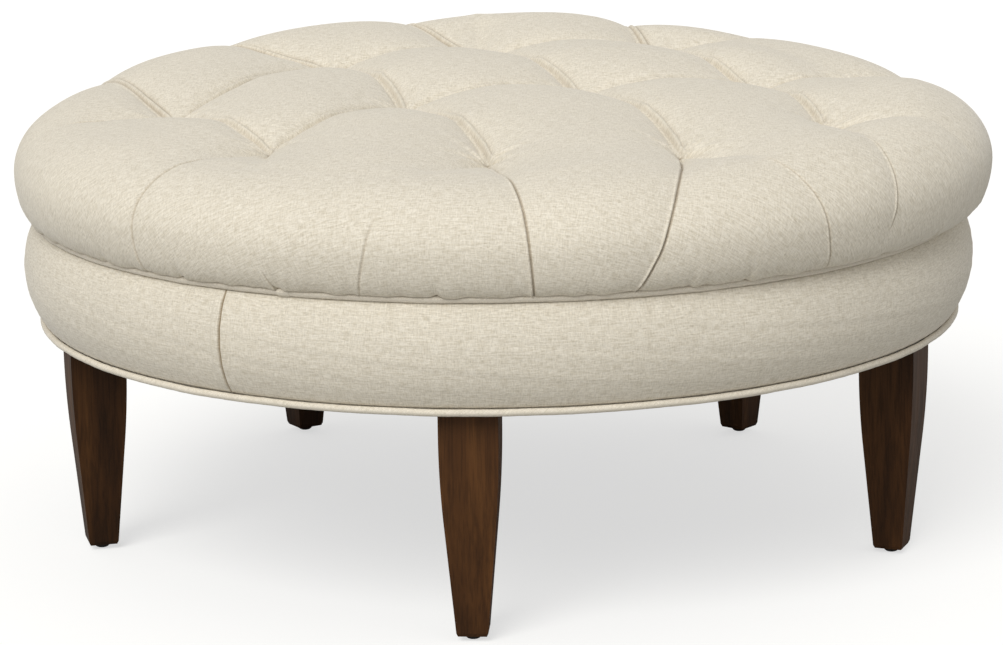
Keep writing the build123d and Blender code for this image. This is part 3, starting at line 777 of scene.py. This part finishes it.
# %% Gather the foot
foot_tucks = (-158, -137, -124, -111, -93, -65, -58, -27, -6, 19, 38, 57, 74, 101, 128, 151, 176)
near_foot = np.clip(1 - (cloth_radius - reach) / 0.030, 0, 1)
foot_waves = wave(angle, (61, 83, 109, 137), 7)
gathered = 0.0016 * foot_waves + 0.0010 * wave(angle, (23, 31, 43), 8)
for turn in foot_tucks:
    aside = (np.mod(angle - math.radians(turn) + math.pi, full_turn) - math.pi) * foot_radius
    fold -= 0.0028 * near_foot * ridge(aside, 0, 0.0032)
    fold += 0.0016 * near_foot * ridge(aside, 0.008, 0.0040)
# painted shade along the last few millimetres above the welt
painted_shade = np.maximum(painted_shade, np.clip(1 - (cloth_radius - reach) / 0.0055, 0, 1))
print("tucks at the foot:", len(foot_tucks))

# %% [markdown]
# ## Cushion: lift the cloth into shape
# All relief is added up and goes outward, at right angles to the dome. Then the whole top leans a little,
# and its far right part sags. The points of the rim stay where they are, because they are sewn.

# %% Lift the cloth
wider_right, loose_height = 0.009, 0.0007
lean_right, lean_back = 0.007, 0.028
sag_turn, sag_depth = 20, 0.0075
loose = loose_height * wave(angle + 9 * reach, (5, 8, 13), 3) * np.clip(reach / 0.2, 0, 1)
wider = wider_right * np.maximum(np.cos(angle), 0) ** 2 * np.clip((reach - flat_radius) / 0.060, 0, 1)
wider *= np.clip((cloth_radius - reach) / 0.012, 0, 1)
out_by = pushed + sunk + fold + wider + near_foot ** 2 * gathered + loose
out_by = np.where(reach > cloth_radius - 1e-4, 0, out_by)

low, high = np.maximum(reach - 0.006, 0), reach + 0.006
slope_r = np.interp(high, profile_s, profile_r) - np.interp(low, profile_s, profile_r)
slope_z = np.interp(high, profile_s, profile_z) - np.interp(low, profile_s, profile_z)
slope = np.hypot(slope_r, slope_z)
radius = np.interp(reach, profile_s, profile_r) - slope_z / slope * out_by
height = np.interp(reach, profile_s, profile_z) + slope_r / slope * out_by
height -= 0.0012 * near_foot ** 3 * foot_waves
height += (lean_right * x + lean_back * y) * on_top
towards_sag = np.clip(np.cos(angle - math.radians(sag_turn)), 0, 1)
height -= sag_depth * on_top * towards_sag ** 8 * np.clip(reach / 0.3, 0, 1)
outer = np.stack([radius * np.cos(angle), radius * np.sin(angle), height], -1)
print("cushion top stands at", round(float(height.max()), 3), "m, its side at", round(float(radius.max()), 3))

# %% [markdown]
# ## Helpers for all cloth pieces
# A cloth piece is a mesh that keeps two notes with each point, which the linen finish reads: its place on
# the flat cloth, so that the threads run over the cells as on real cloth, and how much painted shade it
# gets. Most pieces are rings, so one helper turns a point round the table and one joins the rows.

# %% Make the cloth helpers
def mesh_piece(name, points, faces, finish, laid=None, painted_shade=None):
    mesh = bpy.data.meshes.new(name)
    mesh.from_pydata([tuple(map(float, p)) for p in points], [], faces)
    mesh.validate()
    for note, kind, field, values in (("laid", "FLOAT_VECTOR", "vector", laid),
                                      ("painted_shade", "FLOAT", "value", painted_shade)):
        if values is not None:
            made = mesh.attributes.new(note, kind, "POINT")
            made.data.foreach_set(field, np.asarray(values, dtype=np.float32).ravel())
    for face in mesh.polygons:
        face.use_smooth = True
    piece = bpy.data.objects.new(name, mesh)
    bpy.context.scene.collection.objects.link(piece)
    mesh.materials.append(finish)
    return piece


def around_table(r, turn, z):
    return r * math.cos(turn), r * math.sin(turn), z


def ring_faces(total, row, start=0):
    made = []
    for i in range(total):
        here, after = start + i * row, start + (i + 1) % total * row
        for k in range(row):
            made.append((here + k, after + k, after + (k + 1) % row, here + (k + 1) % row))
    return made


print("a ring of 3 rows of 4 points has", len(ring_faces(3, 4)), "faces")

# %% [markdown]
# ## Cushion: close the form and finish it
# Inside, the cover's form ends where the CAD model's wadding crown begins, so the piece is one closed pad
# with nothing inside another.

# %% Close the cushion
rim = np.where(reach > cloth_radius - 1e-4)[0]
rim = rim[np.argsort(angle[rim])]
rim_angles = angle[rim]
wadding_top = 0.4143
inner_profile = [(0.4783, 0.352), (0.4783, 0.3573), (0.4743, 0.3573), (0.4743, 0.396), (0.469, 0.4088),
                 (0.456, wadding_top), (0.30, wadding_top), (0.10, wadding_top)]
turned_in = cloth_radius + 0.01
points, faces, laid = list(outer), list(triangles), [(px, py, 0) for px, py in flat]
last = list(rim)
for r, z in inner_profile:
    start = len(points)
    points += [around_table(r, a, z) for a in rim_angles]
    laid += [around_table(turned_in, a, 0) for a in rim_angles]
    ring = list(range(start, start + len(rim_angles)))
    faces += [(last[i], last[i - 1], ring[i - 1], ring[i]) for i in range(len(ring))]
    last = ring
points.append((0, 0, wadding_top))
laid.append((0, 0, 0))
faces += [(last[i], last[i - 1], len(points) - 1) for i in range(len(last))]
painted_shade = np.concatenate([painted_shade, np.zeros(len(points) - len(painted_shade))])
cushion = mesh_piece("tufted_cushion", points, faces, cloth_finish, laid, painted_shade)
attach(cushion, "root")
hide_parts("tufted_cover")
print("cushion has", len(points), "points")

# %% [markdown]
# ## Band: its outline
# The band is a strip of the same cloth pulled round a padded wall, so it bulges between the two cords. Its
# outline is the arc of the CAD model, with a short turned-in edge at the foot and at the top.

# %% Draw the band's outline
def arc_through(a, b, c, count):
    (ax, ay), (bx, by), (cx, cy) = a, b, c
    aa, bb, cc = ax ** 2 + ay ** 2, bx ** 2 + by ** 2, cx ** 2 + cy ** 2
    d = 2 * (ax * (by - cy) + bx * (cy - ay) + cx * (ay - by))
    ux = (aa * (by - cy) + bb * (cy - ay) + cc * (ay - by)) / d
    uy = (aa * (cx - bx) + bb * (ax - cx) + cc * (bx - ax)) / d
    start, end = math.atan2(ay - uy, ax - ux), math.atan2(cy - uy, cx - ux)
    size = math.hypot(ax - ux, ay - uy)
    return [(ux + size * math.cos(v), uy + size * math.sin(v)) for v in np.linspace(start, end, count)]


band_outer = [(0.4795, 0.2381), (0.4795, 0.2405)]
band_outer += arc_through((0.4835, 0.2422), (0.5005, 0.300), (0.487, 0.342), 34)
band_outer += [(0.4845, 0.3431), (0.480, 0.3431)]
print("band outline has", len(band_outer), "points")

# %% [markdown]
# ## Band: turned round the table, with one seam
# The strip's two ends meet in one upright seam. The seam is a narrow groove in a slight swelling, because
# four layers of cloth lie behind it. The rows of points are closest together there, and the groove gets
# painted shade.

# %% Make the band cover
seam_angle = math.radians(-118.3)
cloth_thickness, outer_radius, mean_radius = 0.0012, 0.50, 0.49
seam_steps = [-9, -7, -5.4, -4.2, -3.2, -2.4, -1.6, -0.8, 0, 0.8, 1.6, 2.4, 3.2, 4.2, 5.4, 7, 9]
near_seam = seam_angle + np.array(seam_steps) / 500
rest = np.linspace(seam_angle + 0.022, seam_angle + full_turn - 0.022, 700)
band_angles = np.concatenate([near_seam, rest])

points, laid, painted_shade = [], [], []
for turn in band_angles:
    off = ((turn - seam_angle + math.pi) % full_turn - math.pi) * outer_radius
    dent = -0.0024 * math.exp(-(off / 0.0011) ** 2) + 0.0005 * math.exp(-((off + 0.0026) / 0.0016) ** 2)
    dent += 0.0016 * math.exp(-(off / 0.010) ** 2)
    for k, (r, z) in enumerate(band_outer):
        share = (z - band_outer[0][1]) / (band_outer[-1][1] - band_outer[0][1])
        belly = math.sin(math.pi * min(max(share, 0), 1))
        sway = 0.0007 * float(wave(turn, (3, 7, 11), 21))
        sway += 0.0005 * float(wave(turn + 2 * share, (17, 29), 22))
        pucker = 0.0004 * float(wave(turn, (97, 131, 173), 23)) * (1 - belly)
        held = 0 if k < 2 or k > len(band_outer) - 3 else 1
        r = r + held * (dent * min(1, 3 * belly) + belly * sway + pucker)
        points.append(around_table(r, turn, z))
        laid.append(((turn - seam_angle) * mean_radius, z, 0))
        # painted shade in the seam's groove
        painted_shade.append(math.exp(-(off / 0.0010) ** 2))
    for r, z in reversed(band_outer):
        points.append(around_table(r - cloth_thickness, turn, min(max(z, 0.2392), 0.3420)))
        laid.append(((turn - seam_angle) * mean_radius, z, 0))
        painted_shade.append(0.0)
faces = ring_faces(len(band_angles), 2 * len(band_outer))
band = mesh_piece("band_cloth", points, faces, cloth_finish, laid, painted_shade)
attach(band, "root")
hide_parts("band_cover")
print("band has", len(points), "points")

# %% [markdown]
# ## Welts: cloth-covered cords
# A welt is a cord wrapped in a strip of cloth and sewn into a seam. It wanders by half a millimetre, and
# the ends of its wrap overlap. So each welt is a tube along a wandering circle, with a short thicker
# stretch at the overlap and a narrow tail that goes into the seam.

# %% Make the welts
thicker_joint, joint_reach = 0.0007, 0.0112
bias = 0.71


def welt(name, circle, height, size, joint_angle, tail_inner, tail_height, node, seed):
    turns = np.linspace(0, full_turn, 901)[:-1]
    joint = joint_angle + np.array([-12, -11.4, -11, -5, 5, 11, 11.4, 12]) / 1000
    turns = np.sort(np.concatenate([turns, joint % full_turn]))
    around = 14
    points, laid = [], []
    for turn in turns:
        off = abs((turn - joint_angle + math.pi) % full_turn - math.pi)
        wander = 0.00035 * float(wave(turn, (19, 37, 59), seed))
        lift = 0.00045 * float(wave(turn, (11, 23, 47), seed + 1))
        fat = size + 0.00012 * float(wave(turn, (151, 211), seed + 2))
        fat += thicker_joint if off < joint_reach else 0
        for k in range(around):
            v = full_turn * k / around
            points.append(around_table(circle + wander + fat * math.cos(v), turn,
                                       height + lift + fat * math.sin(v)))
            along, round_cord = turn * circle * bias, fat * v * bias
            laid.append((along + round_cord, along - round_cord, 0))
    faces = ring_faces(len(turns), around)
    root, low, high = circle - size * 0.6, tail_height + 0.0001, tail_height + 0.0009
    tail = [(root, high), (tail_inner, high), (tail_inner, low), (root, low)]
    faces += ring_faces(len(turns), len(tail), len(points))
    for turn in turns:
        for r, z in tail:
            points.append(around_table(r, turn, z))
            laid.append((turn * circle, r, 0))
    piece = mesh_piece(name, points, faces, welt_finish, laid)
    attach(piece, "root")
    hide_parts(node)
    return piece


upper_joint, lower_joint = math.radians(-110.6), math.radians(64)
upper_welt = welt("upper_welt_cloth", 0.487, 0.347, 0.004, upper_joint, 0.455, 0.344, "upper_welt", 60)
lower_welt = welt("lower_welt_cloth", 0.4831, 0.2366, 0.0035, lower_joint, 0.450, 0.236, "lower_welt", 70)
print("welts made at", round(upper_welt.dimensions.z, 3), "and", round(lower_welt.dimensions.z, 3), "m thick")

# %% [markdown]
# ## Dust cover
# A thin black cloth is stapled under the bottom board to hide the frame. It hangs a few millimetres between
# its staples, so it is a flat sheet of cloth with a slight belly.

# %% Make the dust cover
def plain_cloth(name, colour, worn, scale):
    f = Finish(name)
    fibres = f.grain(scale, scale, scale, detail=3.0, rough=0.7)
    patches = f.grain(14, 14, 14, detail=2.0)
    tone = f.blend("MIX", f.ramp(fibres, (0.35, 0.0), (0.7, 1.0)), colour, worn)
    tone = f.blend("MULTIPLY", 0.5, tone, f.ramp(patches, (0.3, 0.8), (0.7, 1.0)))
    return f.done(tone, 0.93, f.bump(fibres, 0.0005, 0.5), Sheen_Weight=0.2)


dust_finish = plain_cloth("dust_cloth", (0.012, 0.012, 0.013), (0.035, 0.034, 0.034), 700)
sheet_radius, sheet_height, sheet_sag = 0.470, 0.2357, 0.0030
points, faces = [(0, 0, sheet_height - sheet_sag)], []
rings, around = 24, 120
for k in range(1, rings + 1):
    r = sheet_radius * k / rings
    for i in range(around):
        turn = full_turn * i / around
        slack = math.cos(min(r / 0.40, 1) * math.pi / 2) ** 2
        sag = sheet_sag * slack + 0.0004 * slack * float(wave(turn + 3 * r, (5, 9), 90))
        points.append(around_table(r, turn, sheet_height - sag))
faces += [(0, 1 + i, 1 + (i + 1) % around) for i in range(around)]
for k in range(rings - 1):
    for i in range(around):
        a, b = 1 + k * around + i, 1 + k * around + (i + 1) % around
        faces.append((a, a + around, b + around, b))
dust_sheet = mesh_piece("dust_sheet", points, faces, dust_finish)
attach(dust_sheet, "root")
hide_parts("dust_cover")
print("dust cover area", round(math.pi * sheet_radius ** 2, 3), "m2")

# %% [markdown]
# ## Finishes inside: wood and board
# Most of the structure is hidden, but it is still made of something. Plywood shows its layers on the edge,
# pine its rings and fibreboard its short fibres. Each pattern is noise or a wave at its true size.

# %% Make the wood and board finishes
def plywood(name):
    f = Finish(name)
    where = f.place()
    face = f.grain(5, 60, 60, detail=4.0, rough=0.6, twist=0.8)
    layers = f.node("ShaderNodeTexWave", wave_type="BANDS", bands_direction="Z", wave_profile="SIN")
    layers.inputs["Scale"].default_value = 110.0
    layers.inputs["Distortion"].default_value = 0.6
    f.plug(where, layers.inputs["Vector"])
    colour = f.ramp(face, (0.3, (0.50, 0.33, 0.17)), (0.55, (0.66, 0.47, 0.27)), (0.8, (0.74, 0.57, 0.36)))
    colour = f.blend("MULTIPLY", 0.55, colour, f.ramp(layers.outputs["Fac"], (0.2, 0.62), (0.6, 1.0)))
    return f.done(colour, 0.72, f.bump(face, 0.0004, 0.3))


def timber(name):
    f = Finish(name)
    rings = f.grain(70, 70, 5, detail=3.0, rough=0.55, twist=0.5)
    colour = f.ramp(rings, (0.3, (0.52, 0.34, 0.17)), (0.52, (0.72, 0.53, 0.31)), (0.75, (0.78, 0.62, 0.40)))
    return f.done(colour, 0.7, f.bump(rings, 0.0004, 0.3))


def pressed_fibre(name):
    f = Finish(name)
    fibres = f.grain(500, 500, 500, detail=4.0, rough=0.7)
    flecks = f.grain(130, 130, 40, detail=2.0)
    colour = f.ramp(fibres, (0.3, (0.20, 0.125, 0.07)), (0.7, (0.36, 0.245, 0.15)))
    colour = f.blend("MULTIPLY", 0.5, colour, f.ramp(flecks, (0.35, 0.7), (0.6, 1.0)))
    return f.done(colour, 0.8, f.bump(fibres, 0.0003, 0.4))


finishes = {"leg_wood": leg_finish, "plywood": plywood("plywood"), "frame_timber": timber("frame_timber"),
            "fibreboard": pressed_fibre("fibreboard")}
print("finishes so far:", len(finishes))

# %% [markdown]
# ## Finishes inside: steel and plastic
# Bolts, nails and staples are zinc-plated steel, which has a faint pattern of crystals and fine scratches.
# The glides and the tuft washers are moulded plastic, dull where it is scuffed.

# %% Make the steel and plastic finishes
def zinc(name):
    f = Finish(name)
    where = f.place()
    crystals = f.node("ShaderNodeTexVoronoi")
    crystals.inputs["Scale"].default_value = 420.0
    f.plug(where, crystals.inputs["Vector"])
    scratches = f.grain(900, 900, 120, detail=2.0)
    colour = f.ramp(crystals.outputs["Distance"], (0.1, (0.55, 0.56, 0.58)), (0.7, (0.70, 0.71, 0.72)))
    rough = f.ramp(scratches, (0.3, 0.30), (0.7, 0.48))
    return f.done(colour, rough, f.bump(scratches, 0.0001, 0.2), Metallic=1.0)


def moulded(name, colour, shade):
    f = Finish(name)
    grain = f.grain(900, 900, 900, detail=2.0)
    scuffs = f.grain(160, 160, 60, detail=3.0, rough=0.7)
    tone = f.blend("MIX", f.ramp(scuffs, (0.4, 0.0), (0.75, 1.0)), colour, shade)
    return f.done(tone, f.ramp(scuffs, (0.3, 0.38), (0.7, 0.6)), f.bump(grain, 0.0001, 0.25))


finishes["zinc_steel"] = zinc("zinc_steel")
finishes["glide_plastic"] = moulded("glide_plastic", (0.016, 0.012, 0.010), (0.040, 0.032, 0.028))
finishes["washer_plastic"] = moulded("washer_plastic", (0.72, 0.72, 0.70), (0.60, 0.60, 0.58))
print("finishes with steel and plastic:", len(finishes))

# %% [markdown]
# ## Finishes inside: foam, wadding and cord
# Foam has open cells and wadding is a tangle of fibres, so both are fine noise with soft clumps in it. Cord
# and twine are twisted from strands, so their noise is drawn out.

# %% Make the soft finishes
def soft_stuffing(name, light, shade, scale, distance):
    f = Finish(name)
    cells = f.grain(scale, scale, scale, detail=4.0, rough=0.75)
    clumps = f.grain(30, 30, 30, detail=2.0)
    colour = f.blend("MIX", f.ramp(cells, (0.35, 0.0), (0.65, 1.0)), shade, light)
    colour = f.blend("MULTIPLY", 0.4, colour, f.ramp(clumps, (0.3, 0.85), (0.7, 1.0)))
    return f.done(colour, 0.95, f.bump(cells, distance, 0.6), Sheen_Weight=0.15)


def twisted_cord(name, light, shade):
    f = Finish(name)
    strands = f.grain(420, 420, 900, detail=3.0, rough=0.6, twist=1.0)
    colour = f.blend("MIX", f.ramp(strands, (0.35, 0.0), (0.65, 1.0)), shade, light)
    return f.done(colour, 0.9, f.bump(strands, 0.0006, 0.6))


finishes["wadding"] = soft_stuffing("wadding", (0.86, 0.86, 0.84), (0.70, 0.70, 0.68), 300, 0.0015)
finishes["foam"] = soft_stuffing("foam", (0.86, 0.77, 0.55), (0.66, 0.57, 0.38), 650, 0.0010)
finishes["welt_cord"] = twisted_cord("welt_cord", (0.82, 0.80, 0.74), (0.60, 0.57, 0.50))
finishes["twine"] = twisted_cord("twine", (0.62, 0.54, 0.40), (0.42, 0.35, 0.24))
print("finishes for the frame:", len(finishes))

# %% [markdown]
# ## Give every CAD part its finish
# The record names a material slot for each part, so the finish is chosen by slot and no part is missed.
# Parts that a cloth piece stands for are hidden and need none.

# %% Assign the finishes
stood_for = {"tufted_cover", "band_cover", "upper_welt", "lower_welt", "dust_cover"}
dressed = 0
for part in frame["record"]["subparts"]:
    if part["node"] in stood_for:
        continue
    mesh = nodes[part["node"]].data
    mesh.materials.clear()
    mesh.materials.append(finishes[part["material_slot"]])
    dressed += 1
print("parts given a finish:", dressed)
